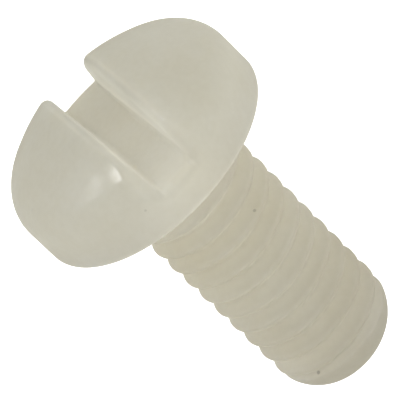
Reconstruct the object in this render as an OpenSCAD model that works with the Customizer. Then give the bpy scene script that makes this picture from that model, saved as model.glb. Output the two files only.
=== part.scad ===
// Slotted pan head machine screw, moulded in one piece from nylon.
// The screw is drawn upright in its own frame (bearing face at z = 0,
// head above, shank below) and is then laid on its side, resting on the
// rim of the head and on the rounded tip, which is how it comes to rest.
// The floor is the plane z = 0. Millimetres.

/* [Head] */
// Diameter of the head over its straight rim
head_d = 7.7; // [6.4:0.1:9]
// Height of the head from the bearing face to the top of the crown
head_h = 3.15; // [2.8:0.05:3.6]
// Height of the straight rim above the bearing face
rim_h = 1.2; // [1.1:0.05:1.4]
// Radius of the shoulder between the rim and the crown
shoulder_r = 1.05; // [0.7:0.05:1.05]
// Radius on the bearing side edge of the rim
rim_edge_r = 0.15; // [0.05:0.05:0.3]

/* [Slot] */
// Width of the driver slot at its floor
slot_w = 1.25; // [0.8:0.05:1.5]
// Height of the slot floor above the bearing face
slot_floor_h = 1.1; // [0.8:0.05:1.5]
// Draft of each slot wall in degrees
slot_draft = 3; // [1:0.5:5]
// Radius on the mouth edges of the slot
slot_edge_r = 0.3; // [0.1:0.05:0.35]
// Turn of the slot about the screw axis in degrees
slot_turn = 2; // [-10:1:10]

/* [Shank] */
// Diameter over the thread crests
thread_d = 3.95; // [3.5:0.05:4.5]
// Length from the bearing face to the tip
shank_l = 9; // [7:0.5:16]
// Radius that rounds the tip
tip_r = 1.5; // [1.4:0.1:1.7]
// Length of the rounded tip along the axis
tip_l = 1.3; // [0.8:0.1:1.3]
// Sideways offset of the shank from the middle of the head
shank_offset = 0.14; // [0:0.02:0.3]

/* [Hidden] */
$fn = 96;

head_r = head_d / 2;
thread_r = thread_d / 2;

// Crown: the arc on the axis that meets the shoulder arc without a corner
crown_a = 2 * atan((head_h - rim_h - shoulder_r) / (head_r - shoulder_r));
crown_r = (head_r - shoulder_r) / sin(crown_a) + shoulder_r;
// (set down by a hair, so that the two arcs cross instead of only touching)
crown_z = head_h - crown_r - 0.006;

// Slot wall: distance of its plane from the crown centre
wall_x = slot_w / 2;
wall_d = wall_x * cos(slot_draft) + (crown_z - slot_floor_h) * sin(slot_draft);

// Lying pose: the floor touches the rim edge and the tip rounding
dx = (shank_l - tip_l) + rim_edge_r;
dz = (head_r - rim_edge_r) - (thread_r - tip_r);
lean = atan(dz / dx) - asin((tip_r - rim_edge_r) / sqrt(dx * dx + dz * dz));
rest_z = rim_edge_r + (head_r - rim_edge_r) * cos(lean) - rim_edge_r * sin(lean);
tip_end_r = thread_r - tip_r + sqrt(tip_r * tip_r - tip_l * tip_l);
mouth_x = wall_x + (head_h - slot_floor_h) * tan(slot_draft) + slot_edge_r;
x_high = shank_l * cos(lean) + tip_end_r * sin(lean);
x_low = -crown_z * cos(lean) - sqrt(crown_r * crown_r - mouth_x * mouth_x);

// Half section of the head, radius along x and height along y. The centres
// of the crown and shoulder arcs lie on one line through their joint.
module head_section() {
    reach = 3 * head_d;
    // rim, with the edge of the bearing side rounded
    difference() {
        square([head_r, rim_h]);
        difference() {
            translate([head_r - rim_edge_r, -1]) square([rim_edge_r + 1, rim_edge_r + 1]);
            translate([head_r - rim_edge_r, rim_edge_r]) circle(r = rim_edge_r, $fn = 48);
        }
    }
    // shoulder
    translate([head_r - shoulder_r, rim_h]) circle(r = shoulder_r);
    // crown
    intersection() {
        translate([0, crown_z]) circle(r = crown_r, $fn = 180);
        polygon([[0, rim_edge_r], [head_r - shoulder_r, rim_edge_r], [head_r - shoulder_r, rim_h],
                 [reach * sin(crown_a), crown_z + reach * cos(crown_a)], [0, reach]]);
    }
}

// Half section of the shank, drawn downwards from the bearing face
module shank_section() {
    translate([0, -(shank_l - tip_l)]) square([thread_r, shank_l - tip_l + 0.6]);
    intersection() {
        translate([thread_r - tip_r, -(shank_l - tip_l)]) circle(r = tip_r);
        translate([0, -shank_l]) square([thread_r, tip_l]);
    }
    translate([0, -shank_l]) square([thread_r - tip_r, tip_l]);
}

// Prism with drafted walls that clears the slot
module slot_cut() {
    top = head_h + 1;
    x_top = wall_x + (top - slot_floor_h) * tan(slot_draft);
    rotate([90, 0, 90])
        linear_extrude(height = head_d + 2, center = true)
            polygon([[-wall_x, slot_floor_h], [wall_x, slot_floor_h], [x_top, top], [-x_top, top]]);
}

// Ring that breaks one mouth edge: it turns about the normal of the slot
// wall through the centre of the crown, and its two cones follow the
// rounding of the edge from the wall to the crown.
module mouth_round() {
    e = slot_edge_r;
    edge_r = sqrt(crown_r * crown_r - wall_d * wall_d);
    m = e * (1 - sqrt(0.5));
    // slope of the first cone off the wall, carried on into the slot
    back = (e - m) / m * 0.05;
    translate([0, 0, crown_z])
        rotate([-slot_draft - 90, 0, 0])
            rotate_extrude($fn = 180)
                polygon([[edge_r - e - back, wall_d - 0.05], [edge_r - m, wall_d + m],
                         [edge_r + 0.05, wall_d + e + back], [edge_r + 1, wall_d + e + back],
                         [edge_r + 1, wall_d - 0.05]]);
}

module screw() {
    color([0.78, 0.77, 0.70])
        translate([-(x_low + x_high) / 2, 0, rest_z])
            rotate([0, lean - 90, 0]) {
                difference() {
                    rotate_extrude() head_section();
                    rotate([0, 0, slot_turn]) {
                        slot_cut();
                        mouth_round();
                        mirror([0, 1, 0]) mouth_round();
                    }
                }
                translate([0, shank_offset, 0]) rotate_extrude() shank_section();
            }
}

screw();
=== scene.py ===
import math

import bpy
import numpy as np
from mathutils import Matrix, Vector


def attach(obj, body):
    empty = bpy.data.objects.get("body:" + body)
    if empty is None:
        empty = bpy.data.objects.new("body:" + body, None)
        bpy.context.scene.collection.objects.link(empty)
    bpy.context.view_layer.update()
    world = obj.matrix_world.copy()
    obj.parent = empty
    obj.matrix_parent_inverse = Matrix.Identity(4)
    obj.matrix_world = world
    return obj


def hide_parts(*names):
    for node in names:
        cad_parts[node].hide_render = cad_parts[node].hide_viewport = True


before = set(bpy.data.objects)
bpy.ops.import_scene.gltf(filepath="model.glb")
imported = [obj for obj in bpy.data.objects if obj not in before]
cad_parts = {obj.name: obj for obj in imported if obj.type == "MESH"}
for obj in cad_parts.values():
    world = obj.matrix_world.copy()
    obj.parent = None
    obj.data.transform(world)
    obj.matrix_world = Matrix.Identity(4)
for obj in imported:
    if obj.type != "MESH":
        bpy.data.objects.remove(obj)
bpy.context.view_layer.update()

# ---------------------------------------------------------------------------
# The screw in its own upright frame, in millimetres: bearing face at z = 0,
# head above it, shank below it. (x, y) are across the axis.
# ---------------------------------------------------------------------------
HEAD_R = 3.85
HEAD_H = 3.15
RIM_H = 1.2
SHOULDER_R = 1.05
RIM_EDGE_R = 0.15
CROWN_A = 2 * math.atan((HEAD_H - RIM_H - SHOULDER_R) / (HEAD_R - SHOULDER_R))
CROWN_R = (HEAD_R - SHOULDER_R) / math.sin(CROWN_A) + SHOULDER_R
CROWN_Z = HEAD_H - CROWN_R - 0.006

SLOT_W = 1.25
SLOT_FLOOR = 1.1
SLOT_DRAFT = math.radians(3)
SLOT_TURN = math.radians(2)

THREAD_R = 1.975
PITCH = 0.7
SHANK_L = 9.0
TIP_R = 1.5
TIP_L = 1.3
SHANK_OFFSET = 0.14
CREST_R = 0.1
ROOT_R = 0.08
THREAD_START = 0.45
RUN_OUT = (7.85, 8.1)
TIP_SKEW = 0.04
FLASH = (0.035, 5.62)  # angle, height

# edge radii of the slot: at the floor's ends, along the mouth, and what both
# gain towards the end of the slot that is worn rounder
FLOOR_EDGE_R = 0.08
MOUTH_EDGE_R = 0.28
EXIT_EXTRA_R = 0.25
# concave radius between floor and walls, sharp end and round end
CORNER_R = (0.04, 0.16)

# how far the moulded skin stays inside the nominal solid
SKIN = 0.001

# lying pose, as in the CAD frame
RUN = (SHANK_L - TIP_L) + RIM_EDGE_R
DROP = (HEAD_R - RIM_EDGE_R) - (THREAD_R - TIP_R)
LEAN = math.atan(DROP / RUN) - math.asin((TIP_R - RIM_EDGE_R) / math.hypot(RUN, DROP))
REST_Z = RIM_EDGE_R + (HEAD_R - RIM_EDGE_R) * math.cos(LEAN) - RIM_EDGE_R * math.sin(LEAN)
TIP_END_R = THREAD_R - TIP_R + math.sqrt(TIP_R**2 - TIP_L**2)
EDGE_R = 0.3
MOUTH_X = SLOT_W / 2 + (HEAD_H - SLOT_FLOOR) * math.tan(SLOT_DRAFT) + EDGE_R
X_HIGH = SHANK_L * math.cos(LEAN) + TIP_END_R * math.sin(LEAN)
X_LOW = -CROWN_Z * math.cos(LEAN) - math.sqrt(CROWN_R**2 - MOUTH_X**2)
ORIGIN = Vector((-(X_LOW + X_HIGH) / 2, 0.0, REST_Z))  # bearing face centre, mm

AX = Vector((math.sin(LEAN), 0.0, math.cos(LEAN)))  # local x in the frame
AY = Vector((0.0, 1.0, 0.0))
AZ = Vector((-math.cos(LEAN), 0.0, math.sin(LEAN)))  # local z, out of the crown


def place(p):
    """Local millimetres (N, 3) to the frame in metres."""
    m = np.array([AX, AY, AZ])
    return (p @ m + np.array(ORIGIN)) * 0.001


# ---------------------------------------------------------------------------
# Implicit surface: negative inside the nylon
# ---------------------------------------------------------------------------
def round_both(a, b, r):
    """Intersection of two fields with a convex rounding of radius r."""
    u, v = np.maximum(a + r, 0), np.maximum(b + r, 0)
    return np.minimum(-r, np.maximum(a, b)) + np.hypot(u, v)


def round_either(a, b, r):
    """Union of two fields with a concave rounding of radius r."""
    u, v = np.maximum(r - a, 0), np.maximum(r - b, 0)
    return np.maximum(r, np.minimum(a, b)) - np.hypot(u, v)


def smooth(t):
    t = np.clip(t, 0, 1)
    return t * t * (3 - 2 * t)


def waves(x, y, z):
    """Slow unevenness of a moulded skin, 0 to 1."""
    w = (
        np.sin(1.9 * x + 0.7 * y - 1.1 * z + 0.4)
        + np.sin(-0.8 * x + 2.3 * y + 0.9 * z + 2.1)
        + np.sin(1.2 * x - 1.4 * y + 2.6 * z + 4.0)
        + 0.6 * np.sin(3.7 * x + 2.9 * y - 1.7 * z + 1.3)
        + 0.6 * np.sin(-3.1 * x + 3.3 * y + 3.9 * z + 5.2)
    )
    return 0.5 + w / 8.4


def head_field(x, y, z):
    r = np.hypot(x, y)
    dz = z - CROWN_Z
    crown = np.hypot(r, dz) - CROWN_R
    shoulder = np.hypot(r - (HEAD_R - SHOULDER_R), z - RIM_H) - SHOULDER_R
    side = np.where(
        np.arctan2(r, dz) < CROWN_A, crown, np.where(z > RIM_H, shoulder, r - HEAD_R)
    )
    head = round_both(side, -z, RIM_EDGE_R)
    b = -x * math.sin(SLOT_TURN) + y * math.cos(SLOT_TURN)
    wall = (
        SLOT_W / 2 + (z - SLOT_FLOOR) * math.tan(SLOT_DRAFT) - np.abs(b)
    ) * math.cos(SLOT_DRAFT)
    floor = z - SLOT_FLOOR
    along = x * math.cos(SLOT_TURN) + y * math.sin(SLOT_TURN)
    edge = FLOOR_EDGE_R + smooth(floor / 0.4) * (MOUTH_EDGE_R - FLOOR_EDGE_R)
    edge = edge + EXIT_EXTRA_R * smooth((along - 2.88) / 0.7)
    corner = CORNER_R[0] + (CORNER_R[1] - CORNER_R[0]) * smooth((along + 2.8) / 2.5)
    return round_both(head, round_either(wall, floor, corner), edge)


def thread_radius(x, y, s):
    """Radius of the thread form at height s below the bearing face."""
    t = np.arctan2(x, y - SHANK_OFFSET)
    turn = (s - THREAD_START) / PITCH - t / (2 * math.pi)
    w = np.abs(turn - np.round(turn)) * PITCH
    slope = math.tan(math.radians(60))
    apex = THREAD_R + CREST_R
    flank = apex - slope * w
    crest = THREAD_R - CREST_R + np.sqrt(np.maximum(CREST_R**2 - w * w, 0))
    r = np.where(w < CREST_R * math.cos(math.radians(30)), crest, flank)
    v = PITCH / 2 - w
    low = apex - slope * PITCH / 2
    root = low + 2 * ROOT_R - np.sqrt(np.maximum(ROOT_R**2 - v * v, 0))
    r = np.where(v < ROOT_R * math.cos(math.radians(30)), root, r)
    # one spot of the groove is filled where the mould flashed
    spot = np.exp(-(((t - FLASH[0]) * THREAD_R / 0.6) ** 2) - ((s - FLASH[1]) / 0.24) ** 2)
    r = r + (THREAD_R - r) * 0.75 * spot
    # the last turn runs out into the rounded tip
    return r + (THREAD_R - r) * smooth((s - RUN_OUT[0]) / (RUN_OUT[1] - RUN_OUT[0]))


def shank_field(x, y, z):
    s = -z
    r = np.hypot(x, y - SHANK_OFFSET)
    thread = (r - thread_radius(x, y, s)) * 0.6
    # the rounding starts a little earlier on one side
    start = SHANK_L - TIP_L - TIP_SKEW * (y - SHANK_OFFSET)
    bend = np.hypot(np.maximum(r - (THREAD_R - TIP_R), 0), s - start) - TIP_R
    tip = np.where(s > start, bend, r - THREAD_R)
    tip = round_both(tip, s - SHANK_L, 0.05)
    body = round_both(thread, tip, 0.05 * smooth((s - (SHANK_L - TIP_L)) / 0.3))
    return np.maximum(body, z - 1.0)


def screw_field(a, b, z):
    """a runs along the slot, b across it."""
    x = a * math.cos(SLOT_TURN) - b * math.sin(SLOT_TURN)
    y = a * math.sin(SLOT_TURN) + b * math.cos(SLOT_TURN)
    f = round_either(head_field(x, y, z), shank_field(x, y, z), 0.1)
    return f + SKIN + 0.005 * waves(x, y, z)


# ---------------------------------------------------------------------------
# Surface net over the field, its points then moved onto the surface itself
# ---------------------------------------------------------------------------
def gradient(fn, p, e=2e-4):
    g = np.empty_like(p)
    for k in range(3):
        q, r = p.copy(), p.copy()
        q[:, k] += e
        r[:, k] -= e
        g[:, k] = (fn(*q.T) - fn(*r.T)) / (2 * e)
    return g


def surface_net(fn, lo, hi, h):
    lo, hi = np.array(lo, float), np.array(hi, float)
    n = np.ceil((hi - lo) / h).astype(int) + 1
    ax = [lo[k] + h * np.arange(n[k]) for k in range(3)]
    field = np.empty(n)
    for k0 in range(0, n[2], 24):
        g = np.meshgrid(ax[0], ax[1], ax[2][k0 : k0 + 24], indexing="ij")
        field[:, :, k0 : k0 + 24] = fn(*g)
    inside = field < 0
    cells, points, quads = [], [], []
    for k in range(3):
        u, v = (k + 1) % 3, (k + 2) % 3
        a = [slice(None)] * 3
        b = [slice(None)] * 3
        a[k], b[k] = slice(None, -1), slice(1, None)
        ina, inb = inside[tuple(a)], inside[tuple(b)]
        at = np.argwhere(ina != inb)
        here = ina[tuple(at.T)]
        other = at.copy()
        other[:, k] += 1
        fa, fb = field[tuple(at.T)], field[tuple(other.T)]
        p = at.astype(float)
        p[:, k] += fa / (fa - fb)
        ring = []
        for du, dv in ((-1, -1), (0, -1), (0, 0), (-1, 0)):
            c = at.copy()
            c[:, u] += du
            c[:, v] += dv
            ring.append(np.ravel_multi_index(tuple(c.T), tuple(n)))
            cells.append(ring[-1])
            points.append(p)
        q = np.stack(ring, 1)
        q[~here] = q[~here][:, ::-1]
        quads.append(q)
    cells, points, quads = map(np.concatenate, (cells, points, quads))
    ids, back = np.unique(cells, return_inverse=True)
    count = np.bincount(back).astype(float)
    verts = np.stack([np.bincount(back, points[:, k]) / count for k in range(3)], 1)
    verts = lo + verts * h
    for step in range(6):
        g = gradient(fn, verts)
        move = fn(*verts.T)[:, None] * g / np.maximum((g * g).sum(1), 0.05)[:, None]
        size = np.linalg.norm(move, axis=1, keepdims=True)
        verts -= move * np.minimum(1, 0.5 * h / np.maximum(size, 1e-12))
    return verts, np.searchsorted(ids, quads)


def weld(verts, quads, tiny):
    """Joins neighbours closer than tiny; a quad that loses a side becomes a triangle."""
    to = np.arange(len(verts))
    for k in range(4):
        i, j = quads[:, k], quads[:, (k + 1) % 4]
        near = np.linalg.norm(verts[i] - verts[j], axis=1) < tiny
        for p, q in zip(i[near], j[near]):
            to[to == max(to[p], to[q])] = min(to[p], to[q])
    kept, back = np.unique(to, return_inverse=True)
    faces = []
    for q in back[quads].tolist():
        f = [v for n, v in enumerate(q) if v != q[n - 1]]
        if len(set(f)) > 2:
            faces.append(f)
    return verts[kept], faces


CELL = 0.07
verts, quads = surface_net(
    screw_field,
    (-HEAD_R - 0.213, -HEAD_R - 0.207, -SHANK_L - 0.217),
    (HEAD_R + 0.2, HEAD_R + 0.2, HEAD_H + 0.2),
    CELL,
)
verts, faces = weld(verts, quads, 0.003)
normals = gradient(screw_field, verts)
normals /= np.linalg.norm(normals, axis=1, keepdims=True)


def unturn(p):
    c, s = math.cos(SLOT_TURN), math.sin(SLOT_TURN)
    return np.stack([p[:, 0] * c - p[:, 1] * s, p[:, 0] * s + p[:, 1] * c, p[:, 2]], 1)


mesh = bpy.data.meshes.new("screw_body")
mesh.from_pydata(place(unturn(verts)).tolist(), [], faces)
mesh.validate()
mesh.update()
mesh.polygons.foreach_set("use_smooth", np.ones(len(mesh.polygons), bool))
out = unturn(normals) @ np.array([AX, AY, AZ])
mesh.normals_split_custom_set_from_vertices(out.tolist())
screw = bpy.data.objects.new("screw_body", mesh)
bpy.context.scene.collection.objects.link(screw)


# ---------------------------------------------------------------------------
# Material: natural nylon
# ---------------------------------------------------------------------------
def point(u, v, s):
    """Frame position in metres of a point given across (u), up (v) and along (s)."""
    return (ORIGIN + AY * u + AX * v - AZ * s) * 0.001


def node(nt, kind, **props):
    n = nt.nodes.new(kind)
    for k, v in props.items():
        setattr(n, k, v)
    return n


def ramp(nt, stops):
    r = node(nt, "ShaderNodeValToRGB")
    els = r.color_ramp.elements
    while len(els) < len(stops):
        els.new(0.5)
    for el, (pos, col) in zip(els, stops):
        el.position = pos
        el.color = (*col, 1)
    return r


def between(nt, value, a, b, to_a, to_b):
    """Smooth step of a value: to_a up to a, to_b from b on."""
    m = node(nt, "ShaderNodeMapRange", interpolation_type="SMOOTHSTEP")
    nt.links.new(value, m.inputs["Value"])
    for name, number in (("From Min", a), ("From Max", b), ("To Min", to_a), ("To Max", to_b)):
        m.inputs[name].default_value = number
    return m.outputs["Result"]


THROUGH = 0.94  # share of the light that passes the skin
# painted light in the thread roots and slot floor, painted shade on the thread crests and the slot's
# mouth edges
ROOT_PAINTED_LIGHT, CREST_PAINTED_SHADE, SLOT_PAINTED_LIGHT = 1.045, 0.974, 0.13
MOUTH_PAINTED_SHADES = (0.20, 0.20)  # of its two sides
# (across, up, along) in mm, size in mm, tone
SPECKS = (
    ((0.958, 1.663, 2.55), 0.065, 0.72),
    ((-1.081, 1.335, 7.988), 0.075, 0.62),
    ((-1.127, 3.678, -1.071), 0.05, 0.86),
)


def nylon():
    mat = bpy.data.materials.new("natural_nylon")
    mat.use_nodes = True
    nt = mat.node_tree
    nt.nodes.clear()
    link = nt.links.new
    coord = node(nt, "ShaderNodeTexCoord").outputs["Object"]

    # distance along the screw, 0 at the top of the crown, 1 at the tip
    dot = node(nt, "ShaderNodeVectorMath", operation="DOT_PRODUCT")
    link(coord, dot.inputs[0])
    dot.inputs[1].default_value = -AZ
    along = node(nt, "ShaderNodeMapRange")
    start = ORIGIN.dot(-AZ) * 0.001
    along.inputs["From Min"].default_value = start - HEAD_H * 0.001
    along.inputs["From Max"].default_value = start + SHANK_L * 0.001
    link(dot.outputs["Value"], along.inputs["Value"])
    # colour along the screw, partly the nylon's own tone and partly painted light and shade that set
    # each stretch's brightness: the shank lighter than the head, darker again towards the tip
    tone = ramp(
        nt,
        [
            (0.0, (0.656, 0.652, 0.610)),
            (0.12, (0.664, 0.660, 0.619)),
            (0.18, (0.644, 0.639, 0.598)),
            (0.24, (0.612, 0.606, 0.569)),
            (0.34, (0.734, 0.723, 0.673)),
            (0.62, (0.698, 0.687, 0.634)),
            (0.88, (0.656, 0.643, 0.591)),
            (0.94, (0.590, 0.578, 0.530)),
        ],
    )
    link(along.outputs["Result"], tone.inputs["Fac"])

    # cloudy drift of the colour through the plastic
    cloud = node(nt, "ShaderNodeTexNoise")
    cloud.inputs["Scale"].default_value = 330
    cloud.inputs["Detail"].default_value = 3
    cloud.inputs["Roughness"].default_value = 0.55
    link(coord, cloud.inputs["Vector"])
    drift = node(nt, "ShaderNodeMapRange")
    drift.inputs["From Min"].default_value = 0.3
    drift.inputs["From Max"].default_value = 0.7
    link(cloud.outputs["Fac"], drift.inputs["Value"])
    warm = node(nt, "ShaderNodeMix", data_type="RGBA", blend_type="MULTIPLY")
    warm.inputs["Factor"].default_value = 1.0
    link(tone.outputs["Color"], warm.inputs["A"])
    shades = ramp(nt, [(0.0, (0.955, 0.94, 0.90)), (1.0, (1.0, 1.0, 1.0))])
    link(drift.outputs["Result"], shades.inputs["Fac"])
    link(shades.outputs["Color"], warm.inputs["B"])
    colour = warm.outputs["Result"]

    # fine grain of the colour
    grain = node(nt, "ShaderNodeTexNoise")
    grain.inputs["Scale"].default_value = 5200
    grain.inputs["Detail"].default_value = 2
    link(coord, grain.inputs["Vector"])
    grains = ramp(nt, [(0.3, (0.975, 0.972, 0.965)), (0.7, (1.0, 1.0, 1.0))])
    link(grain.outputs["Fac"], grains.inputs["Fac"])
    fine = node(nt, "ShaderNodeMix", data_type="RGBA", blend_type="MULTIPLY")
    fine.inputs["Factor"].default_value = 1.0
    link(colour, fine.inputs["A"])
    link(grains.outputs["Color"], fine.inputs["B"])
    colour = fine.outputs["Result"]

    # painted light and shade: thread roots and the slot floor are lightened and the thread crests
    # darkened, evening out the shade of the grooves and the slot
    centre = node(nt, "ShaderNodeVectorMath", operation="SUBTRACT")
    link(coord, centre.inputs[0])
    centre.inputs[1].default_value = (ORIGIN + AY * SHANK_OFFSET) * 0.001
    cross = node(nt, "ShaderNodeVectorMath", operation="CROSS_PRODUCT")
    link(centre.outputs["Vector"], cross.inputs[0])
    cross.inputs[1].default_value = AZ
    radial = node(nt, "ShaderNodeVectorMath", operation="LENGTH")
    link(cross.outputs["Vector"], radial.inputs[0])
    groove_light_and_crest_shade = between(nt, radial.outputs["Value"], 0.00162, 0.00196, ROOT_PAINTED_LIGHT, CREST_PAINTED_SHADE)
    shank = node(nt, "ShaderNodeMath", operation="MULTIPLY")
    link(between(nt, along.outputs["Result"], 0.255, 0.275, 0.0, 1.0), shank.inputs[0])
    link(between(nt, along.outputs["Result"], 0.88, 0.93, 1.0, 0.0), shank.inputs[1])
    in_thread = node(nt, "ShaderNodeMix", data_type="FLOAT")
    link(shank.outputs["Value"], in_thread.inputs["Factor"])
    in_thread.inputs["A"].default_value = 1.0
    link(groove_light_and_crest_shade, in_thread.inputs["B"])
    side = node(nt, "ShaderNodeVectorMath", operation="DOT_PRODUCT")
    link(centre.outputs["Vector"], side.inputs[0])
    side.inputs[1].default_value = AY * math.cos(SLOT_TURN) - AX * math.sin(SLOT_TURN)
    off = node(nt, "ShaderNodeMath", operation="ADD")
    link(side.outputs["Value"], off.inputs[0])
    off.inputs[1].default_value = SHANK_OFFSET * 0.001
    width = node(nt, "ShaderNodeMath", operation="ABSOLUTE")
    link(off.outputs["Value"], width.inputs[0])
    in_slot = between(nt, width.outputs["Value"], 0.00057, 0.00066, 1.0, 0.0)
    # painted light on the slot floor
    slot_floor_light = node(nt, "ShaderNodeMath", operation="MULTIPLY")
    link(between(nt, along.outputs["Result"], 0.09, 0.165, 0.0, SLOT_PAINTED_LIGHT), slot_floor_light.inputs[0])
    link(between(nt, along.outputs["Result"], 0.170, 0.184, 1.0, 0.0), slot_floor_light.inputs[1])
    both = node(nt, "ShaderNodeMath", operation="MULTIPLY_ADD")
    link(in_slot, both.inputs[0])
    link(slot_floor_light.outputs["Value"], both.inputs[1])
    # painted shade on its walls and rounded mouth edges, darkening the band of light they catch
    mouth = node(nt, "ShaderNodeMath", operation="MULTIPLY")
    link(between(nt, width.outputs["Value"], 0.00062, 0.00070, 0.0, 1.0), mouth.inputs[0])
    link(between(nt, width.outputs["Value"], 0.00078, 0.00096, 1.0, 0.0), mouth.inputs[1])
    edged = node(nt, "ShaderNodeMath", operation="MULTIPLY_ADD")
    link(mouth.outputs["Value"], edged.inputs[0])
    mouth_painted_shade = node(nt, "ShaderNodeMath", operation="MULTIPLY")
    link(between(nt, along.outputs["Result"], 0.12, 0.165, -1.0, 0.0), mouth_painted_shade.inputs[0])
    link(between(nt, off.outputs["Value"], -0.0005, 0.0005, *MOUTH_PAINTED_SHADES), mouth_painted_shade.inputs[1])
    # the painted shade is less at the end that is rounder
    run = node(nt, "ShaderNodeVectorMath", operation="DOT_PRODUCT")
    link(centre.outputs["Vector"], run.inputs[0])
    run.inputs[1].default_value = AX * math.cos(SLOT_TURN) + AY * math.sin(SLOT_TURN)
    local = node(nt, "ShaderNodeMath", operation="MULTIPLY")
    link(mouth_painted_shade.outputs["Value"], local.inputs[0])
    link(between(nt, run.outputs["Value"], 0.0012, 0.0028, 1.0, 0.3), local.inputs[1])
    link(local.outputs["Value"], edged.inputs[1])
    edged.inputs[2].default_value = 1.0
    link(edged.outputs["Value"], both.inputs[2])
    painted_light_shade = node(nt, "ShaderNodeMath", operation="MULTIPLY")
    link(both.outputs["Value"], painted_light_shade.inputs[0])
    link(in_thread.outputs["Result"], painted_light_shade.inputs[1])
    # painted shade: slightly darker towards the low side and one edge of the screw
    rise = node(nt, "ShaderNodeVectorMath", operation="DOT_PRODUCT")
    link(centre.outputs["Vector"], rise.inputs[0])
    rise.inputs[1].default_value = AX
    low_side_painted_shade = node(nt, "ShaderNodeMath", operation="MULTIPLY")
    link(painted_light_shade.outputs["Value"], low_side_painted_shade.inputs[0])
    link(between(nt, rise.outputs["Value"], -0.0038, 0.001, 0.958, 1.003), low_side_painted_shade.inputs[1])
    # painted shade along one edge of the screw
    flank = node(nt, "ShaderNodeMath", operation="MULTIPLY")
    link(low_side_painted_shade.outputs["Value"], flank.inputs[0])
    link(between(nt, off.outputs["Value"], -0.0036, -0.0010, 0.95, 1.0), flank.inputs[1])
    painted_light_shade = flank
    colour_with_painted_light = node(nt, "ShaderNodeVectorMath", operation="SCALE")
    link(colour, colour_with_painted_light.inputs[0])
    link(painted_light_shade.outputs["Value"], colour_with_painted_light.inputs["Scale"])
    colour = colour_with_painted_light.outputs["Vector"]

    # specks of burnt plastic
    for at, size, dark in SPECKS:
        gap = node(nt, "ShaderNodeVectorMath", operation="DISTANCE")
        link(coord, gap.inputs[0])
        gap.inputs[1].default_value = point(*at)
        tint = between(nt, gap.outputs["Value"], size * 0.0005, size * 0.001, dark, 1.0)
        dot_on = node(nt, "ShaderNodeVectorMath", operation="SCALE")
        link(colour, dot_on.inputs[0])
        link(tint, dot_on.inputs["Scale"])
        colour = dot_on.outputs["Vector"]

    # surface: fine unevenness of the mould, and the gloss that goes with it
    orange = node(nt, "ShaderNodeTexNoise")
    orange.inputs["Scale"].default_value = 2400
    orange.inputs["Detail"].default_value = 3
    orange.inputs["Roughness"].default_value = 0.6
    link(coord, orange.inputs["Vector"])
    pits = node(nt, "ShaderNodeTexNoise")
    pits.inputs["Scale"].default_value = 11000
    pits.inputs["Detail"].default_value = 2
    link(coord, pits.inputs["Vector"])
    gloss = node(nt, "ShaderNodeMapRange")
    gloss.inputs["From Min"].default_value = 0.3
    gloss.inputs["From Max"].default_value = 0.7
    gloss.inputs["To Min"].default_value = 0.15
    gloss.inputs["To Max"].default_value = 0.26
    link(orange.outputs["Fac"], gloss.inputs["Value"])
    bump1 = node(nt, "ShaderNodeBump")
    bump1.inputs["Strength"].default_value = 0.5
    bump1.inputs["Distance"].default_value = 1.2e-5
    link(orange.outputs["Fac"], bump1.inputs["Height"])
    bump2 = node(nt, "ShaderNodeBump")
    bump2.inputs["Strength"].default_value = 0.35
    bump2.inputs["Distance"].default_value = 3e-6
    link(pits.outputs["Fac"], bump2.inputs["Height"])
    link(bump1.outputs["Normal"], bump2.inputs["Normal"])

    bsdf = node(nt, "ShaderNodeBsdfPrincipled")
    link(colour, bsdf.inputs["Base Color"])
    through = node(nt, "ShaderNodeBsdfTranslucent")
    link(colour, through.inputs["Color"])
    body = node(nt, "ShaderNodeMixShader")
    body.inputs["Fac"].default_value = THROUGH
    link(bsdf.outputs["BSDF"], body.inputs[1])
    link(through.outputs["BSDF"], body.inputs[2])
    link(gloss.outputs["Result"], bsdf.inputs["Roughness"])
    link(bump2.outputs["Normal"], bsdf.inputs["Normal"])
    bsdf.inputs["IOR"].default_value = 1.53
    bsdf.inputs["Specular IOR Level"].default_value = 1.0
    bsdf.inputs["Subsurface Weight"].default_value = 0.85
    bsdf.inputs["Subsurface Radius"].default_value = (1.0, 0.92, 0.74)
    bsdf.inputs["Subsurface Scale"].default_value = 0.0009
    end = node(nt, "ShaderNodeOutputMaterial")
    link(body.outputs["Shader"], end.inputs["Surface"])
    return mat


mesh.materials.append(nylon())
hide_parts("screw")
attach(screw, "root")

# ---------------------------------------------------------------------------
# Stage: pale floor, soft light
# ---------------------------------------------------------------------------
floor_mesh = bpy.data.meshes.new("floor")
S = 1.5
floor_mesh.from_pydata([(-S, -S, 0), (S, -S, 0), (S, S, 0), (-S, S, 0)], [], [(0, 1, 2, 3)])
floor = bpy.data.objects.new("floor", floor_mesh)
bpy.context.scene.collection.objects.link(floor)
fmat = bpy.data.materials.new("floor_paint")
fmat.use_nodes = True
fb = fmat.node_tree.nodes["Principled BSDF"]
fb.inputs["Base Color"].default_value = (0.9, 0.9, 0.9, 1)
fb.inputs["Roughness"].default_value = 0.9
fb.inputs["Specular IOR Level"].default_value = 0.1
fb.inputs["Emission Color"].default_value = (1, 1, 1, 1)
fb.inputs["Emission Strength"].default_value = 0.5
floor_mesh.materials.append(fmat)

world = bpy.data.worlds.new("studio")
bpy.context.scene.world = world
world.use_nodes = True
world.node_tree.nodes["Background"].inputs["Color"].default_value = (1, 1, 1, 1)
world.node_tree.nodes["Background"].inputs["Strength"].default_value = 1.05


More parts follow.
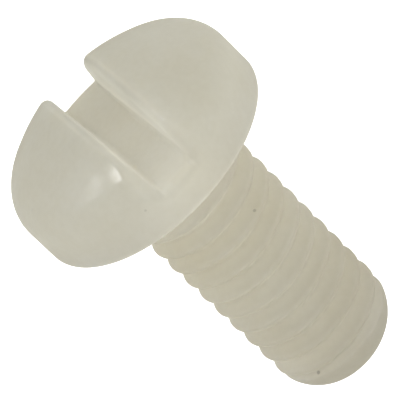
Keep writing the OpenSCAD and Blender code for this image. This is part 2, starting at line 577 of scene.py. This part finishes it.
def softbox(name, az, el, dist, w, h, radiance, aim=(0, 0, 0.004)):
    """az from +X towards +Y, el above the floor, in degrees; size in metres."""
    a, e = math.radians(az), math.radians(el)
    way = Vector((math.cos(e) * math.cos(a), math.cos(e) * math.sin(a), math.sin(e)))
    data = bpy.data.lights.new(name, "AREA")
    data.shape = "RECTANGLE"
    data.size, data.size_y = w, h
    data.energy = radiance * math.pi * w * h
    lamp = bpy.data.objects.new(name, data)
    lamp.location = Vector(aim) + way * dist
    lamp.rotation_mode = "QUATERNION"
    lamp.rotation_quaternion = way.to_track_quat("Z", "Y")
    bpy.context.scene.collection.objects.link(lamp)
    return lamp


softbox("front_box", -165, 15, 0.5, 0.07, 0.07, 95.0)
softbox("low_box", -151, 4, 0.5, 0.12, 0.05, 29.0)
softbox("upper_box", 180, 55, 0.5, 0.06, 0.06, 30.0)
softbox("side_box", -33, 35, 0.5, 0.12, 0.12, 6.0)
softbox("top_box", 180, 80, 0.6, 0.5, 0.5, 0.9)

# ---------------------------------------------------------------------------
# Camera: looks down on the lying screw from the side of its head
# ---------------------------------------------------------------------------
UNIT = THREAD_R
PHI, THETA, PSI = 0.7687005, 0.5132441, -0.0035093
axis = -AZ
above = math.cos(PSI) * AX + math.sin(PSI) * AY
beside = math.cos(PSI) * AY - math.sin(PSI) * AX
look = math.sin(THETA) * axis - math.cos(THETA) * above
across = math.cos(THETA) * axis + math.sin(THETA) * above
right = math.cos(PHI) * across + math.sin(PHI) * beside
down = math.sin(PHI) * across - math.cos(PHI) * beside
SCALE, NEAR = 69.6840912, 0.0169911726
ref = ORIGIN + AY * SHANK_OFFSET + axis * (1.5 * UNIT)
eye = ref - look * (UNIT / NEAR) - right * (21.9533 / SCALE * UNIT) - down * (20.0750 / SCALE * UNIT)
cam_data = bpy.data.cameras.new("camera")
cam_data.sensor_width = 36
cam_data.lens = SCALE / NEAR * 36 / 400
cam_data.clip_start = 0.01
cam_data.clip_end = 10
cam = bpy.data.objects.new("camera", cam_data)
cam.matrix_world = Matrix(
    (
        (right.x, -down.x, -look.x, eye.x * 0.001),
        (right.y, -down.y, -look.y, eye.y * 0.001),
        (right.z, -down.z, -look.z, eye.z * 0.001),
        (0, 0, 0, 1),
    )
)
bpy.context.scene.collection.objects.link(cam)
bpy.context.scene.camera = cam
bpy.context.scene.view_settings.view_transform = "Standard"
